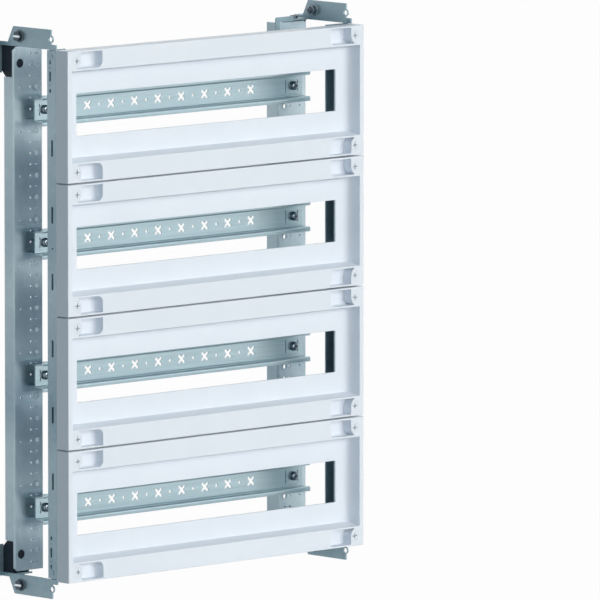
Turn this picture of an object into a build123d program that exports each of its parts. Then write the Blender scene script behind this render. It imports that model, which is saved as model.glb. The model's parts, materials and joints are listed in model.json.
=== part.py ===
from build123d import *
import math
import os

# A frame for four rows of rail-mounted devices. Width runs along X, depth along Y with the
# covers in front, height along Z. The origin is under the middle of the frame, at the height
# of the lower brackets' bottom edges. Sizes are in millimetres.

# Rows of devices
row_count = 4
row_pitch = 150.0  # height of one row
module_width = 18.0  # one device place
modules_per_row = 22
module_play = 2.0  # free width at each end of a full row

# Covers
cover_width = 457.0
cover_drop = 1.2  # from the middle of a row down to the middle of its cover
cover_joint = 1.8  # gap between two covers
cover_depth = 19.7
cover_wall = 2.0
cover_edge = 0.8  # rounding of the front edges
side_rim = 6.5  # flat rim beside the sunk field
band_height = 22.5  # flat rim above and below the sunk field
field_thickness = 2.5  # plate round the window
field_draft = 3.7  # how far the field's upper and lower walls lean in
field_bend = 6.0  # rounding between the field and its side walls
window_height = 48.0
window_corner = 1.0
rib_thickness = 1.5
rib_pitch = 57.0  # ribs behind the bands, at most this far apart

# Pockets in the covers' corners, beside the locks
pocket_end = 52.5  # from the cover's side to the pocket's far end
pocket_depth = 12.5
pocket_corner = 7.0
pocket_floor_bend = 3.0

# Locks that hold the covers
lock_side = 14.0  # from the cover's side to the lock
lock_edge = 12.5  # from the cover's joint line to the lock
lock_head_diameter = 11.0
lock_head_thickness = 2.0
lock_shank_diameter = 7.6
lock_wing_length = 10.5
lock_wing_width = 3.2
lock_wing_thickness = 2.5
lock_clearance = 0.1
cross_length = 7.4
cross_width = 1.2
cross_depth = 0.8
boss_margin = 6.0  # from the lock's centre to the boss's flat side

# Carrier strips behind the covers' sides
strip_depth = 15.7
strip_sheet = 1.5
strip_bend = 0.5  # inside radius
strip_front_flange = 25.0
strip_back_flange = 27.5
strip_slot_length = 19.4
strip_slot_width = 3.2
strip_slot_setback = 6.5  # from the strip's front to the slots
strip_end_gap = 0.8  # between a strip's end and the bracket
comb_setback = 9.5  # from the strip's front to the end slots
comb_from_end = 29.2  # from the strip's end to the middle of the end slots
comb_long_slot = 11.7
comb_short_slot = 4.8
comb_slot_width = 2.8
comb_hole_diameter = 1.4
comb_hole_offset = 9.9
comb_short_offset = 16.1
mark_hole_diameter = 2.2

# Hat rails
rail_setback = 65.5  # from the covers' front to the rail's lips
rail_height = 35.0
rail_depth = 15.0
rail_sheet = 1.5
rail_bend = 0.8  # inside radius
rail_channel_height = 27.0
cross_hole_length = 14.0
cross_hole_width = 3.6
round_hole_diameter = 4.0
end_slot_length = 4.0
end_slot_width = 1.3
end_slot_spacing = 9.0
end_slot_inset = 7.3  # from the rail's end
long_slot_length = 15.0
long_slot_inset = 26.0  # from the rail's end

# Spacers and screws between rail and upright
spacer_depth = 12.5
spacer_height = 25.0
spacer_sheet = 1.5
spacer_bend = 1.0  # inside radius
spacer_width = 27.0
spacer_inset = 1.0  # from the rail's end to the spacer's end
rail_screw_head_diameter = 10.5
rail_screw_head_height = 5.0
rail_screw_shank_diameter = 5.4
rail_screw_tip = 1.5  # beyond the upright's web and collar
rail_hole_diameter = 6.0

# Upright channels
profile_width = 45.0
profile_depth = 18.5
outer_flange_depth = 15.0  # shorter than the inner flange
profile_sheet = 2.0
profile_bend = 0.8  # inside radius
profile_end_gap = 3.5  # from the covers' end line to the upright's end
profile_end_chamfer = 4.0
perforation_pitch = 12.5
perforation_margin = 6.5  # least length from the upright's end to a hole
dense_column_inset = 26.2  # from the upright's outer side
dense_hole_diameter = 2.8
sparse_column_inset = 10.8
sparse_hole_diameter = 2.5
sparse_step = 4  # pitches
collar_column_inset = 34.5
collar_hole_diameter = 5.6
collar_wall = 1.3
collar_height = 0.7
web_slot_length = 5.0
web_slot_width = 1.5

# End blocks in the uprights
block_length = 34.0
block_width = 22.0  # from the upright's outer side
block_cap = 1.5  # cap between the upright's end and the bracket
block_clearance = 0.2
block_chamfer = 6.0
peg_diameter = 10.2
peg_clearance = 0.1
peg_recess = 0.8
peg_inset = 10.4  # from the upright's outer side
peg_from_end = 19.0  # from the upright's end

# Corner brackets
bracket_sheet = 2.0
bracket_height = 22.5
bracket_front = 28.0  # from the covers' front to the plate's front edge
bracket_top_back = 90.5  # from the covers' front to the plate's upper back corner
bracket_foot_back = 99.5  # from the covers' front to the foot of the slanted edge
bracket_foot_height = 4.4
bracket_foot_bend = 2.5
front_tab_height = 5.8
eye_outer_radius = 4.0
eye_hole_radius = 3.1
eye_height = 11.7  # above the plate's bottom edge
eye_setback = 0.8  # from the plate's front edge back to the eye's middle
tongue_width = 26.5
tongue_front = 90.0  # from the covers' front
hook_width = 5.7
hook_length = 20.3
hook_top = 5.3  # above the tongue's underside
hook_side = 52.5  # from the plate's outer side to the hook's far side
hook_corner = 2.6
hook_overlap = 1.5  # over the tongue
tie_length = 15.0  # tab down into the carrier strip
tie_width = 7.0
tie_overlap = 5.0
tie_setback = 8.0  # from the strip's front to the tab's middle
ear_reach = 14.5
ear_drop = 31.5  # below the plate's bottom edge
ear_corner = 3.0
ear_hole_diameter = 6.0
ear_hole_reach = 7.5  # from the plate's outer side
ear_hole_drop = 15.5  # below the plate's bottom edge

# Fasteners of the corner brackets
hex_setback = 80.0  # from the covers' front
hex_height = 11.8  # above the plate's bottom edge
hex_size = 10.0  # across flats
hex_head_height = 4.0
hex_nut_height = 5.0
hex_flange_diameter = 14.0
hex_flange_thickness = 1.4
hex_shank_diameter = 6.0
hex_shank_tip = 3.5  # beyond the nut
hex_clearance = 0.2
block_screw_inset = 16.5  # from the plate's outer side
block_screw_setback = 6.0  # from the upright's web front to the screw
block_screw_head_diameter = 9.6
block_screw_head_height = 3.2
block_screw_shank_diameter = 5.0
block_screw_length = 14.0
rivet_shank_diameter = 3.6
rivet_head_diameter = 5.4
rivet_head_height = 0.6
rivet_clearance = 0.05
rivet_from_end = 6.5  # from the strip's end
screw_clearance = 0.1  # round a screw in its hole

# Depths, as Y of each layer, with the frame's depth centred on Y = 0
profile_setback = rail_setback + rail_depth + spacer_depth
overall_depth = profile_setback + profile_depth + bracket_sheet
front_y = -overall_depth / 2
strip_y = front_y + cover_depth
rail_y = front_y + rail_setback
rail_base_y = rail_y + rail_depth - rail_sheet
spacer_y = rail_y + rail_depth
web_y = front_y + profile_setback
ear_y = web_y + profile_depth

# Heights
stack_half = row_count * row_pitch / 2
profile_half = stack_half - profile_end_gap
bracket_base = profile_half + block_cap  # from mid height to the plate's bottom edge
strip_half = bracket_base - strip_end_gap
mid_z = bracket_base + bracket_height

# Widths, from the middle plane
side_x = cover_width / 2
upright_x = side_x - bracket_sheet  # the uprights stand inside the brackets' plates
lock_x = side_x - lock_side
collar_x = upright_x - collar_column_inset
rail_screw_x = collar_x
rail_length = 2 * (rail_screw_x + spacer_width / 2 + spacer_inset)
window_width = modules_per_row * module_width + 2 * module_play

# Sizes inside a cover
cover_height = row_pitch - cover_joint
field_width = cover_width - 2 * side_rim
field_height = cover_height - 2 * band_height
field_depth = cover_depth - field_thickness
lock_z = row_pitch / 2 - lock_edge
pocket_x = side_x - pocket_end
pocket_top = cover_height / 2 - cover_wall
pocket_bottom = field_height / 2 + cover_wall

sides = {"left": -1, "right": 1}
levels = {"lower": -1, "upper": 1}
rows = range(1, row_count + 1)


def row_z(row):
    """Height of the middle of a row, counted from the lowest."""
    return mid_z + (row - (row_count + 1) / 2) * row_pitch


def cover_z(row):
    """Height of the middle of a row's cover."""
    return row_z(row) - cover_drop


def upright_plane(y, z=mid_z):
    """Plane that faces the front, so that a negative extrusion goes back."""
    return Plane(origin=(0, y, z), x_dir=(1, 0, 0), z_dir=(0, -1, 0))


def bent_sheet(points, sheet, inside_radius):
    """Section of a bent sheet whose centreline runs through the points."""
    with BuildSketch() as section:
        with BuildLine():
            FilletPolyline(*points, radius=inside_radius + sheet / 2)
        trace(line_width=sheet)
    return section.sketch


def write(shape, label):
    """Label a finished piece and write it."""
    shape.label = label
    export_step(shape, f"parts/{label}.step")


def at_corners(shape, name):
    """Write a piece of the upper right corner at all four corners."""
    for side, x_sign in sides.items():
        for level, z_sign in levels.items():
            piece = shape
            if x_sign < 0:
                piece = mirror(piece, about=Plane.YZ)
            if z_sign < 0:
                piece = mirror(piece, about=Plane.XY.offset(mid_z))
            write(piece, f"{name}_{level}_{side}")


def all_corners(shape):
    """The four copies of a fastener of the upper right corner, as one group."""
    pair = [shape, mirror(shape, about=Plane.YZ)]
    below = [mirror(piece, about=Plane.XY.offset(mid_z)) for piece in pair]
    return Compound(children=pair + below)


def pocket_outline():
    """Outline of the four corner pockets, round-cornered where they meet the boss."""
    boss_x = lock_x - boss_margin
    boss_corner = lock_z - pocket_bottom
    pocket_height = pocket_top - pocket_bottom
    with BuildSketch() as outline:
        with Locations((pocket_x, pocket_bottom)):
            Rectangle(lock_x - 1 - pocket_x, pocket_height, align=(Align.MIN, Align.MIN))
        fillet(outline.vertices().sort_by_distance((pocket_x, pocket_bottom))[0], pocket_corner)
        with BuildSketch(mode=Mode.PRIVATE) as boss:
            with Locations((boss_x, pocket_bottom)):
                Rectangle(lock_side + boss_margin, 2 * pocket_height, align=(Align.MIN, Align.MIN))
            fillet(boss.vertices().sort_by_distance((boss_x, pocket_bottom))[0], boss_corner)
        add(boss.sketch, mode=Mode.SUBTRACT)
        mirror(about=Plane.YZ)
        mirror(about=Plane.XZ)
    return outline.sketch


def lock_places():
    """Places of a cover's four locks."""
    return GridLocations(2 * lock_x, 2 * lock_z, 2, 2)


def make_cover(z):
    """One cover: flat rim, sunk field with a window, corner pockets, ribs behind."""
    band_x = pocket_x - cover_wall
    cell_count = math.ceil(2 * band_x / rib_pitch)
    cell_pitch = (2 * band_x + rib_thickness) / cell_count
    hollow_height = pocket_top - pocket_bottom
    hollow_z = (pocket_top + pocket_bottom) / 2
    back = upright_plane(strip_y, z)
    with BuildPart() as cover:
        with BuildSketch(upright_plane(front_y, z)):
            Rectangle(cover_width, cover_height)
        extrude(amount=-cover_depth)
        fillet(cover.faces().sort_by(Axis.Y)[0].edges(), cover_edge)
        # Sunk field with leaning upper and lower walls
        with BuildSketch(upright_plane(front_y, z)):
            Rectangle(field_width, field_height)
        with BuildSketch(upright_plane(front_y + field_depth, z)):
            Rectangle(field_width, field_height - 2 * field_draft)
        loft(mode=Mode.SUBTRACT)
        floor_y = front_y + field_depth
        floor_edges = cover.edges().filter_by(Axis.Z).filter_by_position(Axis.Y, floor_y, floor_y)
        fillet(floor_edges, field_bend)
        # Window for the devices' fronts
        with BuildSketch(back):
            RectangleRounded(window_width, window_height, window_corner)
        extrude(amount=cover_depth, mode=Mode.SUBTRACT)
        # Corner pockets
        with BuildSketch(upright_plane(front_y, z)):
            add(pocket_outline())
        extrude(amount=-pocket_depth, mode=Mode.SUBTRACT)
        pocket_y = front_y + pocket_depth
        ends = cover.edges().filter_by(Axis.Z).filter_by_position(Axis.Y, pocket_y, pocket_y)
        fillet([edge for edge in ends if abs(edge.center().X) < pocket_x + 1], pocket_floor_bend)
        # Hollows behind the bands, with ribs between them
        with BuildSketch(back):
            for z_sign in levels.values():
                with Locations((0, z_sign * hollow_z)):
                    with GridLocations(cell_pitch, 1, cell_count, 1):
                        Rectangle(cell_pitch - rib_thickness, hollow_height)
            with GridLocations(cover_width - side_rim, 1, 2, 1):
                Rectangle(side_rim - 2 * cover_wall, field_height - 2 * field_draft)
        extrude(amount=cover_depth - cover_wall, mode=Mode.SUBTRACT)
        # Hollows behind the pockets
        with BuildSketch(back):
            relief_width = lock_x - boss_margin - pocket_x - 2 * cover_wall
            relief_x = pocket_x + cover_wall + relief_width / 2
            with GridLocations(2 * relief_x, 2 * hollow_z, 2, 2):
                Rectangle(relief_width, hollow_height - 2 * cover_wall)
        extrude(amount=cover_depth - pocket_depth - cover_wall, mode=Mode.SUBTRACT)
        # Seats for the locks
        with BuildSketch(upright_plane(front_y, z)):
            with lock_places():
                Circle(lock_head_diameter / 2 + lock_clearance)
        extrude(amount=-lock_head_thickness, mode=Mode.SUBTRACT)
        with BuildSketch(upright_plane(front_y, z)):
            with lock_places():
                Circle(lock_shank_diameter / 2 + lock_clearance)
        extrude(amount=-cover_depth, mode=Mode.SUBTRACT)
    return cover.part


def make_locks(z):
    """The four quarter-turn locks of one cover, with wings behind the strip's flange."""
    wing_y = strip_y + strip_sheet + lock_clearance
    with BuildPart() as locks:
        with BuildSketch(upright_plane(front_y, z)):
            with lock_places():
                Circle(lock_head_diameter / 2)
        extrude(amount=-lock_head_thickness)
        with BuildSketch(upright_plane(front_y, z)):
            with lock_places():
                Circle(lock_shank_diameter / 2)
        extrude(amount=-(wing_y + lock_wing_thickness - front_y))
        with BuildSketch(upright_plane(wing_y, z)):
            with lock_places():
                Rectangle(lock_wing_width, lock_wing_length)
        extrude(amount=-lock_wing_thickness)
        with BuildSketch(upright_plane(front_y, z)):
            with lock_places():
                Rectangle(cross_length, cross_width)
                Rectangle(cross_width, cross_length)
        extrude(amount=-cross_depth, mode=Mode.SUBTRACT)
    return locks.part


def make_strip():
    """Right carrier strip: a channel open to the middle, slotted, with keyed lock holes."""
    half = strip_sheet / 2
    web_x = side_x - half
    line = [
        (side_x - strip_front_flange, strip_y + half),
        (web_x, strip_y + half),
        (web_x, strip_y + strip_depth - half),
        (side_x - strip_back_flange, strip_y + strip_depth - half),
    ]
    with BuildPart() as strip:
        with BuildSketch(Plane.XY.offset(mid_z - strip_half)):
            add(bent_sheet(line, strip_sheet, strip_bend))
        extrude(amount=2 * strip_half)
        # Slots half way between the row lines, in the web
        with BuildSketch(Plane(origin=(side_x, strip_y, mid_z), x_dir=(0, 1, 0), z_dir=(1, 0, 0))):
            with Locations((strip_slot_setback, 0)):
                with GridLocations(1, row_pitch / 2, 1, 2 * row_count - 2):
                    SlotOverall(strip_slot_length, strip_slot_width, rotation=90)
            with Locations((strip_slot_setback, row_pitch / 2)):
                Circle(mark_hole_diameter / 2)
            with Locations((comb_setback, 0)):
                with GridLocations(1, 2 * (strip_half - comb_from_end), 1, 2):
                    SlotOverall(comb_long_slot, comb_slot_width, rotation=90)
                    with GridLocations(1, 2 * comb_hole_offset, 1, 2):
                        Circle(comb_hole_diameter / 2)
                    with GridLocations(1, 2 * comb_short_offset, 1, 2):
                        SlotOverall(comb_short_slot, comb_slot_width, rotation=90)
            with Locations((tie_setback, 0)):
                with GridLocations(1, 2 * (strip_half - rivet_from_end), 1, 2):
                    Circle(rivet_shank_diameter / 2 + rivet_clearance)
        extrude(amount=-strip_sheet, mode=Mode.SUBTRACT)
        # Keyed holes for the locks: round, with a flat slot for the wings
        with BuildSketch(upright_plane(strip_y, mid_z - cover_drop)):
            with Locations((lock_x, 0)):
                with GridLocations(1, row_pitch, 1, row_count):
                    with GridLocations(1, 2 * lock_z, 1, 2):
                        Circle(lock_shank_diameter / 2 + lock_clearance)
                        Rectangle(lock_wing_length + 2 * lock_clearance,
                                  lock_wing_width + 2 * lock_clearance)
        extrude(amount=-strip_sheet, mode=Mode.SUBTRACT)
    return strip.part


def make_rail(z):
    """One hat rail with crossed slots at the device pitch and round holes between them."""
    half = rail_sheet / 2
    channel_z = rail_channel_height / 2 - half
    lip_y = rail_y + half
    base_y = rail_y + rail_depth - half
    line = [
        (lip_y, rail_height / 2),
        (lip_y, channel_z),
        (base_y, channel_z),
        (base_y, -channel_z),
        (lip_y, -channel_z),
        (lip_y, -rail_height / 2),
    ]
    hole_pitch = 2 * module_width
    cross_count = 2 * math.floor((rail_screw_x - hole_pitch) / hole_pitch)
    with BuildPart() as rail:
        with BuildSketch(Plane(origin=(-rail_length / 2, 0, z), x_dir=(0, 1, 0), z_dir=(1, 0, 0))):
            add(bent_sheet(line, rail_sheet, rail_bend))
        extrude(amount=rail_length)
        with BuildSketch(upright_plane(rail_base_y, z)):
            with GridLocations(hole_pitch, 1, cross_count, 1):
                SlotOverall(cross_hole_length, cross_hole_width, rotation=45)
                SlotOverall(cross_hole_length, cross_hole_width, rotation=-45)
            with GridLocations(hole_pitch, 1, cross_count - 1, 1):
                Circle(round_hole_diameter / 2)
            with GridLocations(2 * rail_screw_x, 1, 2, 1):
                Circle(rail_hole_diameter / 2)
            with GridLocations(rail_length - 2 * end_slot_inset, end_slot_spacing, 2, 2):
                SlotOverall(end_slot_length, end_slot_width, rotation=90)
            with GridLocations(rail_length - 2 * long_slot_inset, 1, 2, 1):
                SlotOverall(long_slot_length, end_slot_width, rotation=90)
        extrude(amount=-rail_sheet, mode=Mode.SUBTRACT)
    return rail.part


def make_spacer(z, x_sign):
    """Short channel that carries a rail end on the upright's web."""
    half = spacer_sheet / 2
    flange_z = spacer_height / 2 - half
    line = [
        (web_y, flange_z),
        (spacer_y + half, flange_z),
        (spacer_y + half, -flange_z),
        (web_y, -flange_z),
    ]
    middle_x = x_sign * rail_screw_x
    start_x = middle_x - spacer_width / 2
    with BuildPart() as spacer:
        with BuildSketch(Plane(origin=(start_x, 0, z), x_dir=(0, 1, 0), z_dir=(1, 0, 0))):
            add(bent_sheet(line, spacer_sheet, spacer_bend))
        extrude(amount=spacer_width)
        with BuildSketch(upright_plane(spacer_y, z)):
            with Locations((middle_x, 0)):
                Circle(rail_hole_diameter / 2)
        extrude(amount=-spacer_sheet, mode=Mode.SUBTRACT)
    return spacer.part


def make_rail_screws():
    """Pan-head screws through rail, spacer and the upright's collars."""
    head_y = rail_base_y - rail_screw_head_height
    tip_y = web_y + profile_sheet + rail_screw_tip
    with BuildPart() as screws:
        with BuildSketch(upright_plane(head_y)):
            with GridLocations(2 * rail_screw_x, row_pitch, 2, row_count):
                Circle(rail_screw_head_diameter / 2)
        extrude(amount=-rail_screw_head_height)
        front_edges = screws.edges().filter_by_position(Axis.Y, head_y, head_y)
        fillet(front_edges, rail_screw_head_height / 2)
        with BuildSketch(upright_plane(rail_base_y)):
            with GridLocations(2 * rail_screw_x, row_pitch, 2, row_count):
                Circle(rail_screw_shank_diameter / 2)
        extrude(amount=-(tip_y - rail_base_y))
        with BuildSketch(upright_plane(head_y)):
            with GridLocations(2 * rail_screw_x, row_pitch, 2, row_count):
                Rectangle(rail_screw_head_diameter / 2, cross_width)
                Rectangle(cross_width, rail_screw_head_diameter / 2)
        extrude(amount=-rail_screw_head_height / 2, mode=Mode.SUBTRACT)
    return screws.part


def hole_count(spacing):
    """How many holes fit on one side of mid height, at a spacing that starts there."""
    return math.floor((profile_half - perforation_margin) / spacing)


def make_profile():
    """Right upright: a channel with its web in front, perforated, notched at both ends."""
    half = profile_sheet / 2
    line = [
        (upright_x - profile_width + half, web_y + profile_depth),
        (upright_x - profile_width + half, web_y + half),
        (upright_x - half, web_y + half),
        (upright_x - half, web_y + outer_flange_depth),
    ]
    collar_spacing = 2 * perforation_pitch
    collar_count = 2 * hole_count(collar_spacing) + 1
    slot_count = 2 * math.floor((profile_half - perforation_margin) / collar_spacing + 0.5)
    sparse_spacing = sparse_step * perforation_pitch
    with BuildPart() as profile:
        with BuildSketch(Plane.XY.offset(mid_z - profile_half)):
            add(bent_sheet(line, profile_sheet, profile_bend))
        extrude(amount=2 * profile_half)
        # Raised collars round the tapped holes
        with BuildSketch(upright_plane(web_y)):
            with Locations((collar_x, 0)):
                with GridLocations(1, collar_spacing, 1, collar_count):
                    Circle(collar_hole_diameter / 2 + collar_wall)
        extrude(amount=collar_height)
        with BuildSketch(upright_plane(web_y - collar_height)):
            with Locations((collar_x, 0)):
                with GridLocations(1, collar_spacing, 1, collar_count):
                    Circle(collar_hole_diameter / 2)
                with GridLocations(1, collar_spacing, 1, slot_count):
                    SlotOverall(web_slot_length, web_slot_width)
            with Locations((upright_x - dense_column_inset, 0)):
                with GridLocations(1, perforation_pitch, 1, 2 * hole_count(perforation_pitch) + 1):
                    Circle(dense_hole_diameter / 2)
            with Locations((upright_x - sparse_column_inset, 0)):
                with GridLocations(1, sparse_spacing, 1, 2 * hole_count(sparse_spacing) + 1):
                    Circle(sparse_hole_diameter / 2)
            with Locations((upright_x - peg_inset, 0)):
                with GridLocations(1, 2 * (profile_half - peg_from_end), 1, 2):
                    Circle(peg_diameter / 2 + peg_clearance)
        extrude(amount=-(profile_sheet + collar_height), mode=Mode.SUBTRACT)
        # The outer flange stops short of the end blocks, and the web's corners are cut off
        notch_length = block_length + block_clearance
        with BuildSketch(upright_plane(web_y + profile_sheet)):
            with Locations((upright_x, 0)):
                with GridLocations(1, 2 * (profile_half - notch_length / 2), 1, 2):
                    Rectangle(2 * (profile_sheet + profile_bend), notch_length)
        extrude(amount=-profile_depth, mode=Mode.SUBTRACT)
        with BuildSketch(upright_plane(web_y)):
            for z_sign in levels.values():
                end_z = z_sign * profile_half
                Polygon(
                    (upright_x, end_z),
                    (upright_x - profile_end_chamfer, end_z),
                    (upright_x, end_z - z_sign * profile_end_chamfer),
                    align=None,
                )
        extrude(amount=-(profile_sheet + profile_bend), mode=Mode.SUBTRACT)
    return profile.part


def make_block():
    """Black end block of the upper right upright end, with cap and peg."""
    inner_x = upright_x - block_width
    back_y = web_y + profile_depth
    low_z = mid_z + profile_half - block_length
    body_y = web_y + profile_sheet
    with BuildPart() as block:
        with BuildSketch(Plane(origin=(inner_x, 0, 0), x_dir=(0, 1, 0), z_dir=(1, 0, 0))):
            with BuildLine():
                Polyline(
                    (body_y, low_z),
                    (body_y, mid_z + profile_half),
                    (back_y, mid_z + profile_half),
                    (back_y, low_z + block_chamfer),
                    (back_y - block_chamfer, low_z),
                    close=True,
                )
            make_face()
        extrude(amount=block_width)
        # Cap over the upright's end
        with BuildSketch(Plane.XY.offset(mid_z + profile_half)):
            with Locations((inner_x, web_y)):
                Rectangle(block_width, profile_depth, align=(Align.MIN, Align.MIN))
        extrude(amount=block_cap)
        # Peg in the web
        peg_plane = upright_plane(web_y + peg_recess, mid_z + profile_half - peg_from_end)
        with BuildSketch(peg_plane):
            with Locations((upright_x - peg_inset, 0)):
                Circle(peg_diameter / 2)
        extrude(amount=-profile_sheet)
        # Bore for the screw through the bracket's tongue
        with BuildSketch(Plane.XY.offset(mid_z + bracket_base)):
            with Locations((side_x - block_screw_inset, web_y + block_screw_setback)):
                Circle(block_screw_shank_diameter / 2 + screw_clearance)
        extrude(amount=-block_screw_length, mode=Mode.SUBTRACT)
    return block.part


def make_bracket():
    """Upper right corner bracket: side plate, tongue, fixing ear, tie tab and eye."""
    base_z = mid_z + bracket_base
    plate_y = front_y + bracket_front
    foot_z = base_z + bracket_foot_height
    back_y = ear_y + bracket_sheet
    plate_plane = Plane(origin=(side_x, 0, 0), x_dir=(0, 1, 0), z_dir=(1, 0, 0))
    with BuildPart() as bracket:
        with BuildSketch(plate_plane) as outline:
            with BuildLine():
                Polyline(
                    (strip_y, base_z),
                    (strip_y, base_z + front_tab_height),
                    (plate_y, base_z + front_tab_height),
                    (plate_y, base_z + bracket_height),
                    (front_y + bracket_top_back, base_z + bracket_height),
                    (front_y + bracket_foot_back, foot_z),
                    (back_y, foot_z),
                    (back_y, base_z),
                    close=True,
                )
            make_face()
            foot = (front_y + bracket_foot_back, foot_z)
            fillet(outline.vertices().sort_by_distance((side_x, *foot))[0], bracket_foot_bend)
            with Locations((plate_y + eye_setback, base_z + eye_height)):
                Circle(eye_outer_radius)
                Circle(eye_hole_radius, mode=Mode.SUBTRACT)
            with Locations((front_y + hex_setback, base_z + hex_height)):
                Circle(hex_shank_diameter / 2 + hex_clearance, mode=Mode.SUBTRACT)
        extrude(amount=-bracket_sheet)
        # Tongue over the upright's end
        with BuildSketch(Plane.XY.offset(base_z)):
            with Locations((side_x - tongue_width, front_y + tongue_front)):
                Rectangle(tongue_width, ear_y - front_y - tongue_front,
                          align=(Align.MIN, Align.MIN))
            with Locations((side_x - block_screw_inset, web_y + block_screw_setback)):
                Circle(block_screw_shank_diameter / 2 + screw_clearance, mode=Mode.SUBTRACT)
        extrude(amount=bracket_sheet)
        # Fixing ear, bent outwards at the back
        with BuildSketch(upright_plane(ear_y, base_z)) as ear:
            with Locations((side_x - bracket_sheet, -ear_drop)):
                Rectangle(ear_reach + bracket_sheet, ear_drop + bracket_foot_height,
                          align=(Align.MIN, Align.MIN))
            outer = ear.vertices().group_by(Axis.X)[-1]
            fillet(outer, ear_corner)
            with Locations((side_x + ear_hole_reach, -ear_hole_drop)):
                Circle(ear_hole_diameter / 2, mode=Mode.SUBTRACT)
        extrude(amount=-bracket_sheet)
        # Tab that steps inwards and runs down inside the carrier strip
        tie_x = side_x - strip_sheet
        with BuildSketch(Plane(origin=(tie_x, strip_y, base_z), x_dir=(0, 1, 0), z_dir=(1, 0, 0))):
            with Locations((tie_setback, (tie_overlap - tie_length) / 2)):
                Rectangle(tie_width, tie_length + tie_overlap)
            with Locations((tie_setback, -strip_end_gap - rivet_from_end)):
                Circle(rivet_shank_diameter / 2 + rivet_clearance, mode=Mode.SUBTRACT)
        extrude(amount=-bracket_sheet)
    return bracket.part


def make_hook():
    """Flat hook that reaches inwards from the upper right tongue and turns down."""
    with BuildPart() as hook:
        plane = upright_plane(front_y + tongue_front, mid_z + bracket_base)
        with BuildSketch(plane) as outline:
            with Locations((side_x - hook_side, hook_top)):
                Rectangle(hook_side - tongue_width + hook_overlap, hook_width,
                          align=(Align.MIN, Align.MAX))
                Rectangle(hook_width, hook_length, align=(Align.MIN, Align.MAX))
            top = outline.vertices().group_by(Axis.Z)[-1]
            fillet(top.sort_by(Axis.X)[0], hook_corner)
        extrude(amount=-bracket_sheet)
    return hook.part


def side_plane(x, setback, height):
    """Plane that faces right, at a bracket's outer or inner face, centred on a fastener."""
    origin = (x, front_y + setback, mid_z + bracket_base + height)
    return Plane(origin=origin, x_dir=(0, 1, 0), z_dir=(1, 0, 0))


def make_hex_screw():
    """Hexagon flange screw of the upper right bracket."""
    nut_room = bracket_sheet + hex_flange_thickness + hex_nut_height + hex_shank_tip
    with BuildPart() as screw:
        with BuildSketch(side_plane(side_x, hex_setback, hex_height)):
            Circle(hex_flange_diameter / 2)
        extrude(amount=hex_flange_thickness)
        with BuildSketch(side_plane(side_x, hex_setback, hex_height)):
            RegularPolygon(hex_size / 2, 6, major_radius=False)
        extrude(amount=hex_flange_thickness + hex_head_height)
        with BuildSketch(side_plane(side_x, hex_setback, hex_height)):
            Circle(hex_shank_diameter / 2)
        extrude(amount=-nut_room)
        tip = screw.faces().sort_by(Axis.X)[0].edges()
        chamfer(tip, hex_shank_diameter / 10)
    return screw.part


def make_hex_nut():
    """Hexagon flange nut inside the upper right bracket."""
    inner_x = side_x - bracket_sheet
    with BuildPart() as nut:
        with BuildSketch(side_plane(inner_x, hex_setback, hex_height)):
            Circle(hex_flange_diameter / 2)
            Circle(hex_shank_diameter / 2 + screw_clearance, mode=Mode.SUBTRACT)
        extrude(amount=-hex_flange_thickness)
        with BuildSketch(side_plane(inner_x, hex_setback, hex_height)):
            RegularPolygon(hex_size / 2, 6, major_radius=False)
            Circle(hex_shank_diameter / 2 + screw_clearance, mode=Mode.SUBTRACT)
        extrude(amount=-(hex_flange_thickness + hex_nut_height))
    return nut.part


def make_block_screw():
    """Pan-head screw through the upper right tongue into its end block."""
    head_z = mid_z + bracket_base + bracket_sheet
    place = (side_x - block_screw_inset, web_y + block_screw_setback)
    with BuildPart() as screw:
        with BuildSketch(Plane.XY.offset(head_z)):
            with Locations(place):
                Circle(block_screw_head_diameter / 2)
        extrude(amount=block_screw_head_height)
        rim = screw.faces().sort_by(Axis.Z)[-1].edges()
        fillet(rim, block_screw_head_height / 2)
        with BuildSketch(Plane.XY.offset(head_z)):
            with Locations(place):
                Circle(block_screw_shank_diameter / 2)
        extrude(amount=-(block_screw_length + bracket_sheet))
        with BuildSketch(Plane.XY.offset(head_z + block_screw_head_height)):
            with Locations(place):
                Rectangle(block_screw_head_diameter / 2, cross_width)
                Rectangle(cross_width, block_screw_head_diameter / 2)
        extrude(amount=-block_screw_head_height / 2, mode=Mode.SUBTRACT)
    return screw.part


def make_rivet():
    """Rivet through the right strip's upper end and the bracket's tie tab."""
    height = -strip_end_gap - rivet_from_end
    setback = cover_depth + tie_setback
    grip = strip_sheet + bracket_sheet
    with BuildPart() as rivet:
        with BuildSketch(side_plane(side_x, setback, height)):
            Circle(rivet_head_diameter / 2)
        extrude(amount=rivet_head_height)
        with BuildSketch(side_plane(side_x, setback, height)):
            Circle(rivet_shank_diameter / 2)
        extrude(amount=-grip)
        with BuildSketch(side_plane(side_x - grip, setback, height)):
            Circle(rivet_head_diameter / 2)
        extrude(amount=-rivet_head_height)
    return rivet.part


os.makedirs("parts", exist_ok=True)

for row in rows:
    write(make_cover(cover_z(row)), f"cover_{row}")
    write(make_locks(cover_z(row)), f"cover_locks_{row}")
    write(make_rail(row_z(row)), f"rail_{row}")
    for side, x_sign in sides.items():
        write(make_spacer(row_z(row), x_sign), f"rail_spacer_{side}_{row}")

write(make_rail_screws(), "rail_screws")

for name, piece in {"carrier_strip": make_strip(), "profile": make_profile()}.items():
    write(piece, f"{name}_right")
    write(mirror(piece, about=Plane.YZ), f"{name}_left")

at_corners(make_block(), "end_block")
at_corners(make_bracket(), "corner_bracket")
# Only the upper right bracket has the hook
with BuildPart() as hooked_bracket:
    add(make_bracket())
    add(make_hook())
write(hooked_bracket.part, "corner_bracket_upper_right")

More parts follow.
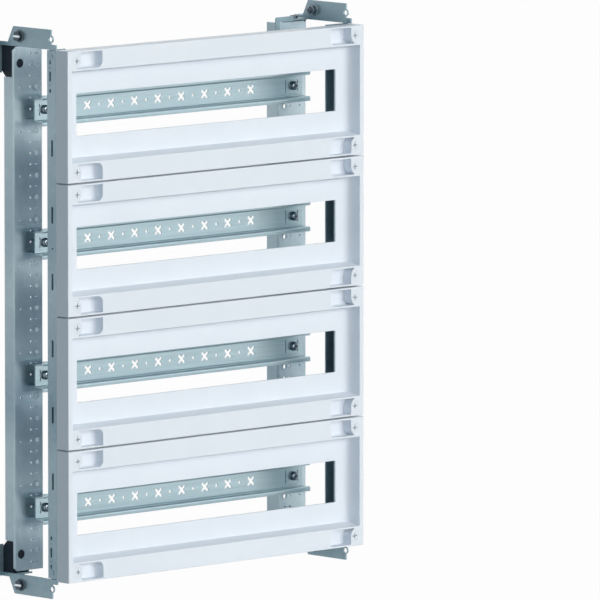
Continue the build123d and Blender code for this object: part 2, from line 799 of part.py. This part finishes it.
write(all_corners(make_hex_screw()), "bracket_screws")
write(all_corners(make_hex_nut()), "bracket_nuts")
write(all_corners(make_block_screw()), "block_screws")
write(all_corners(make_rivet()), "strip_rivets")
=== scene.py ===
import json
import math

import bpy
from mathutils import Euler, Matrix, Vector


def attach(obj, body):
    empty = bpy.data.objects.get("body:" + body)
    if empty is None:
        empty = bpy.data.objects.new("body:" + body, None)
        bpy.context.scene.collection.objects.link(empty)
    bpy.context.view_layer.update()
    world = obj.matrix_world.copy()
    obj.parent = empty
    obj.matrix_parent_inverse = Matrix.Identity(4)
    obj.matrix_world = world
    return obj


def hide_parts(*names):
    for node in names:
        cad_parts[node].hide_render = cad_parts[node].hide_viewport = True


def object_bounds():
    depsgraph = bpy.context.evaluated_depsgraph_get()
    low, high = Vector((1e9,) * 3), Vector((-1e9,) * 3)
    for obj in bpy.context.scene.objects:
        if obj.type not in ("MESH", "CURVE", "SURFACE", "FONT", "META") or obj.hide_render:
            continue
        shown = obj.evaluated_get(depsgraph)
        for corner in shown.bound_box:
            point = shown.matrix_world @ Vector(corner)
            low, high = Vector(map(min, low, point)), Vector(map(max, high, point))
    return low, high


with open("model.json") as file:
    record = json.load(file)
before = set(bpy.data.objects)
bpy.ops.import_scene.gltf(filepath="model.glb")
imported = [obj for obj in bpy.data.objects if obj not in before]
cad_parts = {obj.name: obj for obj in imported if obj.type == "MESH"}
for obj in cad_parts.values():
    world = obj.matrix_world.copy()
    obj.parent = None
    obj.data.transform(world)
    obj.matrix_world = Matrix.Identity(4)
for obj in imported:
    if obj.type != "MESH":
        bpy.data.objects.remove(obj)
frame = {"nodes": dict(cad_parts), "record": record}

CAD_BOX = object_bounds()

# A frame for rows of rail-mounted devices, seen from the front left and a little above.
# Pieces are sized in millimetres, and the camera's place and reach and the floor in metres.

MM = 0.001
NEAR = 0.01  # millimetres that still count as touching
SMOOTH_ANGLE = 32  # degrees between two faces, up to which their edge is shaded smooth
BEVEL_SAMPLES = 6

# Camera
IMAGE_SIZE = 600
SENSOR_WIDTH = 36.0
CAMERA_AZIMUTH = 43.50  # degrees to the left of straight on
CAMERA_ELEVATION = 6.83  # degrees above level
CAMERA_FOCAL_PIXELS = 11830
CAMERA_PLACE = Vector((-9.0631, -9.6854, 1.5895))  # from the middle of the covers' front
CAMERA_REACH = 200.0

# Levels and rows on the frame
FRONT = CAD_BOX[0][1] / MM  # the covers' front
MIDDLE = (CAD_BOX[0][2] + CAD_BOX[1][2]) / 2 / MM  # half way up
ROW_PITCH = 150.0
ROW_HEIGHTS = [MIDDLE + ROW_PITCH * step for step in (-1.5, -0.5, 0.5, 1.5)]
COVER_DROP = 1.2  # from the middle of a row down to the middle of its cover

# Fasteners: OUT from the middle plane, BACK from the covers' front, UP and down from MIDDLE
RAIL_SCREW_OUT = 192.0
RAIL_SCREW_BACK = 79.0
LOCK_OUT = 214.5
LOCK_UP = 62.5  # from the middle of a cover
HEX_OUT = 228.5  # the outer face of the bracket's plate
HEX_BACK = 80.0
HEX_UP = 309.8
PLATE = 2.0  # thickness of the bracket's plate, between a screw and its nut
BLOCK_SCREW_OUT = 212.0
BLOCK_SCREW_BACK = 99.0
BLOCK_SCREW_UP = 300.0
FOUR_CORNERS = [(side, level) for side in (-1, 1) for level in (-1, 1)]

# Shapes that several fasteners share, measured from the seat under the head
THREAD_END = -0.2
FLANGE = [(0, 6.7), (0.4, 7.0), (0.9, 6.6), (1.4, 5.2)]  # steps of (height, radius)
HEX_FOOT = 1.2
HEX_ACROSS = 10.0

# World and floor
WORLD_LEVEL = 0.31
FLOOR_LIFT = 0.975  # share of the floor that the view sees as white
FLOOR_SIZE = 80.0

# Lamps, in degrees: a tilt of 90 shines level, and a turn of 0 shines from the front
LAMP_SPREAD = 50.0
KEY_LEVEL = 3.25
KEY_TILT = 86
KEY_TURN = 10
FILL_LEVEL = 1.1  # from behind, so that the backs and the channels aren't dark
FILL_TILT = 94
FILL_TURN = 155


def colour(code):
    """Linear colour of an sRGB hex value."""
    channels = [int(code[i:i + 2], 16) / 255 for i in (1, 3, 5)]
    linear = [c / 12.92 if c <= 0.04045 else ((c + 0.055) / 1.055) ** 2.4 for c in channels]
    return (*linear, 1.0)


def scale_for(size):
    """Scale of a pattern whose features are of a size in mm."""
    return 1 / (size * MM)


def add_node(owner, kind, fields=None, values=None, links=None):
    """Adds one shader node, sets its fields and sockets and links what feeds it."""
    tree = owner.node_tree
    node = tree.nodes.new(kind)
    for name, field in (fields or {}).items():
        setattr(node, name, field)
    for socket, value in (values or {}).items():
        node.inputs[socket].default_value = value
    for socket, source in (links or {}).items():
        tree.links.new(source, node.inputs[socket])
    return node


def new_material(name, base, roughness, metallic=0.0, ior=None):
    """A material with its main shader set, and that shader."""
    material = bpy.data.materials.new(name)
    material.use_nodes = True
    shader = material.node_tree.nodes["Principled BSDF"]
    shader.inputs["Base Color"].default_value = colour(base)
    shader.inputs["Roughness"].default_value = roughness
    shader.inputs["Metallic"].default_value = metallic
    if ior:
        shader.inputs["IOR"].default_value = ior
    return material, shader


def place_on(material, stretch=(1.0, 1.0, 1.0)):
    """Object coordinates in metres, scaled down along an axis to draw a pattern out on it."""
    where = add_node(material, "ShaderNodeTexCoord")
    mapping = add_node(material, "ShaderNodeMapping", values={"Scale": stretch},
                       links={"Vector": where.outputs["Object"]})
    return mapping.outputs["Vector"]


def vary_colour(material, shader, pattern, low, high):
    """Runs the shader's colour from one hex value to another with a pattern."""
    mix = add_node(material, "ShaderNodeMix", {"data_type": "RGBA"}, links={"Factor": pattern})
    mix.inputs["A"].default_value = colour(low)
    mix.inputs["B"].default_value = colour(high)
    material.node_tree.links.new(mix.outputs["Result"], shader.inputs["Base Color"])


def vary_roughness(material, shader, noise, low, high):
    """Runs the shader's roughness with a noise, most of which is between 0.3 and 0.7."""
    sheen = add_node(material, "ShaderNodeMapRange",
                     values={"From Min": 0.3, "From Max": 0.7, "To Min": low, "To Max": high},
                     links={"Value": noise})
    material.node_tree.links.new(sheen.outputs["Result"], shader.inputs["Roughness"])


def raise_pattern(material, shader, pattern, strength, depth, rounding):
    """Raises a pattern on a surface whose edges look rounded. Both sizes are in mm."""
    edges = add_node(material, "ShaderNodeBevel", {"samples": BEVEL_SAMPLES},
                     {"Radius": rounding * MM})
    bump = add_node(material, "ShaderNodeBump",
                    values={"Strength": strength, "Distance": depth * MM},
                    links={"Height": pattern, "Normal": edges.outputs["Normal"]})
    material.node_tree.links.new(bump.outputs["Normal"], shader.inputs["Normal"])


def cover_plastic():
    # Injection-moulded ABS in a pale cool grey: matt, with a fine spark-eroded grain that
    # only breaks the highlights up, and edges that the mould leaves softly rounded.
    material, shader = new_material("moulded_abs_pale_grey", "#E6EFF6", roughness=0.46,
                                    ior=1.53)
    surface = place_on(material)
    cloud = add_node(material, "ShaderNodeTexNoise",
                     values={"Scale": scale_for(45), "Detail": 3.0}, links={"Vector": surface})
    # Grain of about 0.1 mm, drawn at 0.6 mm so that it shows
    grain = add_node(material, "ShaderNodeTexNoise",
                     values={"Scale": scale_for(0.6), "Detail": 2.0}, links={"Vector": surface})
    vary_colour(material, shader, cloud.outputs["Fac"], "#E7EEF7", "#EEF4FB")
    vary_roughness(material, shader, grain.outputs["Fac"], low=0.40, high=0.54)
    raise_pattern(material, shader, grain.outputs["Fac"], strength=0.25, depth=0.03,
                  rounding=0.5)
    return material


def galvanised_sheet(name, dark, light, metallic):
    # Hot-dip galvanised steel sheet: a satin zinc skin with faint crystal spangle and
    # slight cloudiness, a cool grey between its dark and its light tone.
    material, shader = new_material(name, dark, roughness=0.38, metallic=metallic)
    surface = place_on(material)
    spangle = add_node(material, "ShaderNodeTexVoronoi", values={"Scale": scale_for(7)},
                       links={"Vector": surface})
    cloud = add_node(material, "ShaderNodeTexNoise",
                     values={"Scale": scale_for(60), "Detail": 4.0}, links={"Vector": surface})
    # Stretched noise paints bands of tone over some 150 mm up the sheet, and less across it: a
    # painted reflection of light and dark
    painted_reflection_bands = add_node(material, "ShaderNodeTexNoise",
                     values={"Scale": scale_for(150), "Detail": 1.0},
                     links={"Vector": place_on(material, (0.15, 0.15, 1.0))})
    fine = add_node(material, "ShaderNodeMix", values={"Factor": 0.6},
                    links={"A": spangle.outputs["Color"], "B": cloud.outputs["Fac"]})
    tone = add_node(material, "ShaderNodeMix", values={"Factor": 0.82},
                    links={"A": fine.outputs["Result"], "B": painted_reflection_bands.outputs["Fac"]})
    spread = add_node(material, "ShaderNodeMapRange",
                      values={"From Min": 0.25, "From Max": 0.75},
                      links={"Value": tone.outputs["Result"]})
    vary_colour(material, shader, spread.outputs["Result"], dark, light)
    vary_roughness(material, shader, cloud.outputs["Fac"], low=0.30, high=0.44)
    raise_pattern(material, shader, spangle.outputs["Distance"], strength=0.15, depth=0.02,
                  rounding=0.3)
    return material


def rolled_rail():
    # Zinc-plated, blue-passivated rail: brighter than the sheet, with lengthways roll lines,
    # drawn 1.2 mm apart so that they show.
    material, shader = new_material("plated_rail_steel", "#A6BBC4", roughness=0.32,
                                    metallic=0.9)
    lines = add_node(material, "ShaderNodeTexNoise",
                     values={"Scale": scale_for(1.2), "Detail": 3.0},
                     links={"Vector": place_on(material, (0.01, 1.0, 1.0))})
    vary_colour(material, shader, lines.outputs["Fac"], "#95ABB4", "#B7CCD3")
    raise_pattern(material, shader, lines.outputs["Fac"], strength=0.2, depth=0.01,
                  rounding=0.3)
    return material


def bright_zinc(name, dark, light):
    # Bright zinc plating on turned and headed steel: near mirror, very slightly mottled.
    material, shader = new_material(name, light, roughness=0.2, metallic=1.0)
    mottle = add_node(material, "ShaderNodeTexNoise",
                      values={"Scale": scale_for(2), "Detail": 2.0},
                      links={"Vector": place_on(material)})
    vary_colour(material, shader, mottle.outputs["Fac"], dark, light)
    edges = add_node(material, "ShaderNodeBevel", {"samples": BEVEL_SAMPLES},
                     {"Radius": 0.3 * MM})
    material.node_tree.links.new(edges.outputs["Normal"], shader.inputs["Normal"])
    return material


def black_zinc():
    # Black-passivated zinc plating: dark satin metal, very slightly mottled.
    material, shader = new_material("black_zinc_plating", "#4A545C", roughness=0.34,
                                    metallic=1.0)
    mottle = add_node(material, "ShaderNodeTexNoise",
                      values={"Scale": scale_for(1.5), "Detail": 2.0},
                      links={"Vector": place_on(material)})
    vary_colour(material, shader, mottle.outputs["Fac"], "#3A434B", "#5A646C")
    return material


def black_polyamide():
    # Glass-filled black polyamide, moulded: matt, with a fine grain drawn at 0.9 mm so that
    # it shows.
    material, shader = new_material("moulded_black_polyamide", "#0F1418", roughness=0.5,
                                    ior=1.53)
    shader.inputs["Specular IOR Level"].default_value = 0.2
    grain = add_node(material, "ShaderNodeTexNoise",
                     values={"Scale": scale_for(0.9), "Detail": 3.0},
                     links={"Vector": place_on(material)})
    vary_colour(material, shader, grain.outputs["Fac"], "#141D28", "#222F3C")
    raise_pattern(material, shader, grain.outputs["Fac"], strength=0.3, depth=0.03,
                  rounding=0.4)
    return material


def dress_nodes():
    """Gives each piece of the frame its finish, and returns the finishes."""
    plastic = cover_plastic()
    finishes = {
        "cover_plastic": plastic,
        "lock_plastic": plastic,
        "galvanised_sheet": galvanised_sheet("galvanised_sheet", "#6C8896", "#B1C8D0",
                                             metallic=0.55),
        "rail_steel": rolled_rail(),
        "zinc_fasteners": bright_zinc("bright_zinc_plating", "#5C6A74", "#8E9AA2"),
        "dark_fasteners": black_zinc(),
        "block_plastic": black_polyamide(),
    }
    # The uprights have the sheet's finish in a lighter tone: painted light, in place of the light
    # that the covers' shadow keeps off them
    painted_light_sheet = galvanised_sheet("galvanised_sheet_painted_lighter", "#8FAAB8", "#D6E5EB",
                                   metallic=0.4)
    for subpart in frame["record"]["subparts"]:
        piece = frame["nodes"][subpart["node"]]
        upright = subpart["node"].startswith("profile_")
        for slot in piece.material_slots:
            slot.material = painted_light_sheet if upright else finishes[subpart["material_slot"]]
    return finishes


def turned(name, steps, sides=48):
    """Solid on the Z axis, raised from ring to ring through (height, radius) steps in mm."""
    (height, radius), *rest = steps
    bpy.ops.object.select_all(action="DESELECT")
    bpy.ops.mesh.primitive_circle_add(vertices=sides, radius=radius * MM, fill_type="NGON",
                                      location=(0, 0, height * MM))
    piece = bpy.context.object
    piece.name = name
    bpy.ops.object.transform_apply(location=True, rotation=True, scale=True)
    bpy.ops.object.mode_set(mode="EDIT")
    bpy.ops.mesh.select_all(action="SELECT")
    for next_height, next_radius in rest:
        bpy.ops.mesh.extrude_region_move(
            TRANSFORM_OT_translate={"value": (0, 0, (next_height - height) * MM)})
        ratio = next_radius / radius
        bpy.ops.transform.resize(value=(ratio, ratio, 1),
                                 center_override=(0, 0, next_height * MM))
        height, radius = next_height, next_radius
    bpy.ops.mesh.select_all(action="SELECT")
    bpy.ops.mesh.normals_make_consistent(inside=False)
    bpy.ops.object.mode_set(mode="OBJECT")
    return piece


def tapered_bar(size, top, narrowing):
    """Bar of an X, Y and Z size in mm under a top height, its foot narrowed to a share."""
    bpy.ops.object.select_all(action="DESELECT")
    bpy.ops.mesh.primitive_cube_add(size=1, location=(0, 0, (top - size[2] / 2) * MM))
    bar = bpy.context.object
    bar.scale = [length * MM for length in size]
    bpy.ops.object.transform_apply(location=True, rotation=True, scale=True)
    foot = (top - size[2]) * MM
    bpy.ops.object.mode_set(mode="EDIT")
    bpy.ops.mesh.select_all(action="DESELECT")
    bpy.ops.object.mode_set(mode="OBJECT")
    for vertex in bar.data.vertices:
        vertex.select = vertex.co.z < foot + NEAR * MM
    bpy.ops.object.mode_set(mode="EDIT")
    bpy.ops.transform.resize(value=(narrowing, narrowing, 1), center_override=(0, 0, foot))
    bpy.ops.object.mode_set(mode="OBJECT")
    return bar


def combine(piece, other, operation):
    """Cuts, joins or meets a piece with another one, which is used up."""
    change = piece.modifiers.new("shape", "BOOLEAN")
    change.operation = operation
    change.object = other
    change.solver = "EXACT"
    bpy.ops.object.select_all(action="DESELECT")
    bpy.context.view_layer.objects.active = piece
    piece.select_set(True)
    bpy.ops.object.modifier_apply(modifier=change.name)
    bpy.data.objects.remove(other)
    return piece


def cut_cross(piece, top, length, width, depth):
    """Cross recess that narrows towards its foot, cut by bars that stand 1 mm above it."""
    for size in ((length, width, depth + 1), (width, length, depth + 1)):
        combine(piece, tapered_bar(size, top + 1, narrowing=0.62), "DIFFERENCE")
    return piece


def threaded(tip, radius, pitch):
    """Steps of a threaded shank from its tip up, with a ridge at each turn."""
    core = radius * 0.86
    height = tip + pitch * 0.6
    steps = [(tip, radius * 0.72), (height, core)]
    while height + pitch < THREAD_END:
        steps += [(height + pitch * 0.5, radius), (height + pitch, core)]
        height += pitch
    return steps + [(THREAD_END, core)]


def domed(height, radius):
    """Steps of a pan head with a rounded rim."""
    rim = 0.55 * height
    turn = [math.radians(angle) for angle in range(0, 91, 18)]
    return [(0, radius)] + [
        (height - rim + rim * math.sin(a), radius - rim * (1 - math.cos(a))) for a in turn]


def pan_screw(name, tip, radius, pitch, head_height, head_radius, cross):
    """Threaded screw with a domed head and a cross recess of a length, width and depth."""
    steps = threaded(tip, radius, pitch) + [(0, radius)] + domed(head_height, head_radius)
    return cut_cross(turned(name, steps), head_height, *cross)


def six_sided(name, height):
    """Hexagon that stands in a flange, with its upper corners turned off."""
    corner = HEX_ACROSS / 2 / math.cos(math.radians(30))
    clear = corner + 0.2  # wide of the corners
    top = HEX_FOOT + height
    prism = turned(name, [(HEX_FOOT, corner), (top, corner)], sides=6)
    turning = turned("turning", [(HEX_FOOT - 0.1, clear), (top - 0.7, clear),
                                 (top, HEX_ACROSS / 2 * 0.93)])
    return combine(prism, turning, "INTERSECT")


def set_out(piece, name, places, node):
    """Puts copies at places in mm, turned in degrees, and stands the lot for the node."""
    copies = []
    for place, angles in places:
        copy = piece.copy()
        copy.data = piece.data.copy()
        copy.location = [value * MM for value in place]
        copy.rotation_euler = [math.radians(angle) for angle in angles]
        bpy.context.scene.collection.objects.link(copy)
        copies.append(copy)
    bpy.data.objects.remove(piece)
    bpy.ops.object.select_all(action="DESELECT")
    for copy in copies:
        copy.select_set(True)
    bpy.context.view_layer.objects.active = copies[0]
    bpy.ops.object.transform_apply(location=True, rotation=True, scale=True)
    bpy.ops.object.join()
    group = bpy.context.object
    group.name = name
    bpy.ops.object.shade_smooth_by_angle(angle=math.radians(SMOOTH_ANGLE))
    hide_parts(node)
    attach(group, "root")
    return group


def make_rail_screws(finish):
    """Pan-head screws with a cross recess, at the ends of the rails."""
    screw = pan_screw("rail_screw", tip=-17.5, radius=2.7, pitch=0.9, head_height=5.0,
                      head_radius=5.25, cross=(6.0, 1.3, 2.6))
    places = [((side * RAIL_SCREW_OUT, FRONT + RAIL_SCREW_BACK, height), (90, 0, 0))
              for side in (-1, 1) for height in ROW_HEIGHTS]
    group = set_out(screw, "rail_pan_screws", places, "rail_screws")
    group.data.materials.append(finish)


def make_hex_screws(painted_dark_head_finish):
    """Slotted hexagon flange screws of the corner brackets."""
    shank_radius = 3.0
    head_height = 4.2
    slot_width = 2.6
    slot_length = 9.4
    slot_depth = 0.8
    thread = threaded(tip=-11.9, radius=shank_radius, pitch=1.0)
    screw = turned("hex_screw", thread + [(0, shank_radius)] + FLANGE)
    combine(screw, six_sided("head", head_height), "UNION")
    top = HEX_FOOT + head_height
    slot = tapered_bar((slot_width, slot_length, 2 * slot_depth), top + slot_depth,
                       narrowing=0.8)
    combine(screw, slot, "DIFFERENCE")

    # The slot, whose faces lie between its floor and the head's top, gets a bright zinc as a
    # painted highlight, and the rest of the head gets the dark black zinc as painted shade:
    # together a painted reflection
    screw.data.materials.append(painted_dark_head_finish)
    screw.data.materials.append(
        bright_zinc("zinc_slot_painted_highlight", "#C3CED4", "#E9F0F4"))
    for face in screw.data.polygons:
        x, _, z = face.center / MM
        slot_highlight_face = abs(x) < slot_width / 2 + 0.1 and top - slot_depth - 0.1 < z < top - 0.05
        face.material_index = 1 if slot_highlight_face else 0
    places = [((side * HEX_OUT, FRONT + HEX_BACK, MIDDLE + level * HEX_UP), (0, side * 90, 0))
              for side, level in FOUR_CORNERS]
    set_out(screw, "hex_flange_screws", places, "bracket_screws")


def make_hex_nuts(finish):
    """Hexagon flange nuts on the inner side of the corner brackets' plates."""
    bore_radius = 3.1
    nut_height = 5.2
    lead_in = 0.7
    nut = turned("hex_nut", FLANGE)
    combine(nut, six_sided("body", nut_height), "UNION")
    top = HEX_FOOT + nut_height
    bore = turned("bore", [(-1, bore_radius), (top - lead_in, bore_radius),
                           (top + 0.1, bore_radius + lead_in)])
    combine(nut, bore, "DIFFERENCE")
    places = [((side * (HEX_OUT - PLATE), FRONT + HEX_BACK, MIDDLE + level * HEX_UP),
               (0, side * -90, 0)) for side, level in FOUR_CORNERS]
    group = set_out(nut, "hex_flange_nuts", places, "bracket_nuts")
    group.data.materials.append(finish)


def make_block_screws(finish):
    """Pan-head screws through the brackets' tongues into the end blocks."""
    screw = pan_screw("block_screw", tip=-16.0, radius=2.5, pitch=0.8, head_height=3.2,
                      head_radius=4.8, cross=(4.8, 1.2, 1.6))
    places = [((side * BLOCK_SCREW_OUT, FRONT + BLOCK_SCREW_BACK, MIDDLE + level * BLOCK_SCREW_UP),
               (0 if level > 0 else 180, 0, 0)) for side, level in FOUR_CORNERS]
    group = set_out(screw, "tongue_pan_screws", places, "block_screws")
    group.data.materials.append(finish)


def make_locks(finish):
    """Quarter-turn cover locks, with a chamfered head and a deep cross recess."""
    tip = -23.8
    shank_radius = 3.8
    tip_chamfer = 0.3
    head_radius = 5.5
    head_foot = -2.0
    head_chamfer = 0.1
    wing = (3.2, 10.5, 2.5)  # the X, Y and Z size of the bar at the tip
    for row, row_height in enumerate(ROW_HEIGHTS, 1):
        lock = turned("lock", [(tip, shank_radius - tip_chamfer), (tip + tip_chamfer, shank_radius),
                               (head_foot, shank_radius), (head_foot, head_radius),
                               (-head_chamfer, head_radius), (0, head_radius - head_chamfer)])
        combine(lock, tapered_bar(wing, tip + wing[2], narrowing=0.94), "UNION")
        cut_cross(lock, 0, length=7.4, width=1.5, depth=4.0)
        places = [((side * LOCK_OUT, FRONT, row_height - COVER_DROP + level * LOCK_UP), (90, 0, 0))
                  for side, level in FOUR_CORNERS]
        group = set_out(lock, f"quarter_turn_locks_{row}", places, f"cover_locks_{row}")
        group.data.materials.append(finish)


def shown_to_view(owner):
    """One for rays that come straight from the view or off metal and glass, else nought."""
    path = add_node(owner, "ShaderNodeLightPath")
    gloss = add_node(owner, "ShaderNodeMath", {"operation": "MAXIMUM"},
                     links={0: path.outputs["Is Camera Ray"], 1: path.outputs["Is Glossy Ray"]})
    both = add_node(owner, "ShaderNodeMath", {"operation": "MAXIMUM"},
                    links={0: gloss.outputs[0], 1: path.outputs["Is Transmission Ray"]})
    return both.outputs[0]


def make_world():
    """Even room light, which the view sees as white."""
    world = bpy.data.worlds.new("studio")
    world.use_nodes = True
    bpy.context.scene.world = world
    tree = world.node_tree
    room = tree.nodes["Background"]
    room.inputs["Color"].default_value = colour("#D3E9F4")
    room.inputs["Strength"].default_value = WORLD_LEVEL
    white = add_node(world, "ShaderNodeBackground",
                     values={"Color": (1, 1, 1, 1), "Strength": 1.0})
    mix = add_node(world, "ShaderNodeMixShader", links={
        0: shown_to_view(world), 1: room.outputs[0], 2: white.outputs[0]})
    tree.links.new(mix.outputs[0], tree.nodes["World Output"].inputs["Surface"])


def make_floor():
    """Plain white floor, lifted to white for the view and darkened by the frame's shadow."""
    bpy.ops.object.select_all(action="DESELECT")
    bpy.ops.mesh.primitive_plane_add(size=FLOOR_SIZE, location=(0, 0, 0))
    floor = bpy.context.object
    floor.name = "studio_floor"
    material = bpy.data.materials.new("studio_floor_white")
    material.use_nodes = True
    tree = material.node_tree
    tree.nodes.remove(tree.nodes["Principled BSDF"])
    matt = add_node(material, "ShaderNodeBsdfDiffuse", values={"Color": colour("#E8E9EB")})
    lift = add_node(material, "ShaderNodeEmission", values={"Color": (1, 1, 1, 1)})
    share = add_node(material, "ShaderNodeMath", {"operation": "MULTIPLY"}, {1: FLOOR_LIFT},
                     {0: shown_to_view(material)})
    lifted = add_node(material, "ShaderNodeMixShader",
                      links={0: share.outputs[0], 1: matt.outputs[0], 2: lift.outputs[0]})
    tree.links.new(lifted.outputs[0], tree.nodes["Material Output"].inputs["Surface"])
    floor.data.materials.append(material)


def make_lamps():
    """A broad key light from the front and a little right, and a broad fill from behind."""
    for name, level, tilt, turn in (("key", KEY_LEVEL, KEY_TILT, KEY_TURN),
                                    ("fill", FILL_LEVEL, FILL_TILT, FILL_TURN)):
        lamp = bpy.data.lights.new(name, "SUN")
        lamp.energy = level
        lamp.angle = math.radians(LAMP_SPREAD)
        lamp.color = colour("#FFFBF6")[:3]
        holder = bpy.data.objects.new(name, lamp)
        holder.rotation_euler = Euler((math.radians(tilt), 0, math.radians(turn)))
        bpy.context.scene.collection.objects.link(holder)


def make_camera():
    """Camera at the photograph's angle and distance."""
    low, high = CAD_BOX
    middle = Vector((0.0, low[1], (low[2] + high[2]) / 2))
    lens = bpy.data.cameras.new("camera")
    lens.sensor_width = SENSOR_WIDTH
    lens.lens = CAMERA_FOCAL_PIXELS * SENSOR_WIDTH / IMAGE_SIZE
    lens.clip_end = CAMERA_REACH
    camera = bpy.data.objects.new("camera", lens)
    camera.location = middle + CAMERA_PLACE
    tilt = math.radians(90 - CAMERA_ELEVATION)
    camera.rotation_euler = Euler((tilt, 0, math.radians(-CAMERA_AZIMUTH)))
    bpy.context.scene.collection.objects.link(camera)
    bpy.context.scene.camera = camera


bpy.context.scene.view_settings.view_transform = "Standard"
make_camera()
make_world()
make_lamps()
make_floor()
finishes = dress_nodes()
make_rail_screws(finishes["zinc_fasteners"])
make_hex_screws(finishes["dark_fasteners"])
make_hex_nuts(finishes["zinc_fasteners"])
make_block_screws(finishes["dark_fasteners"])
make_locks(finishes["lock_plastic"])
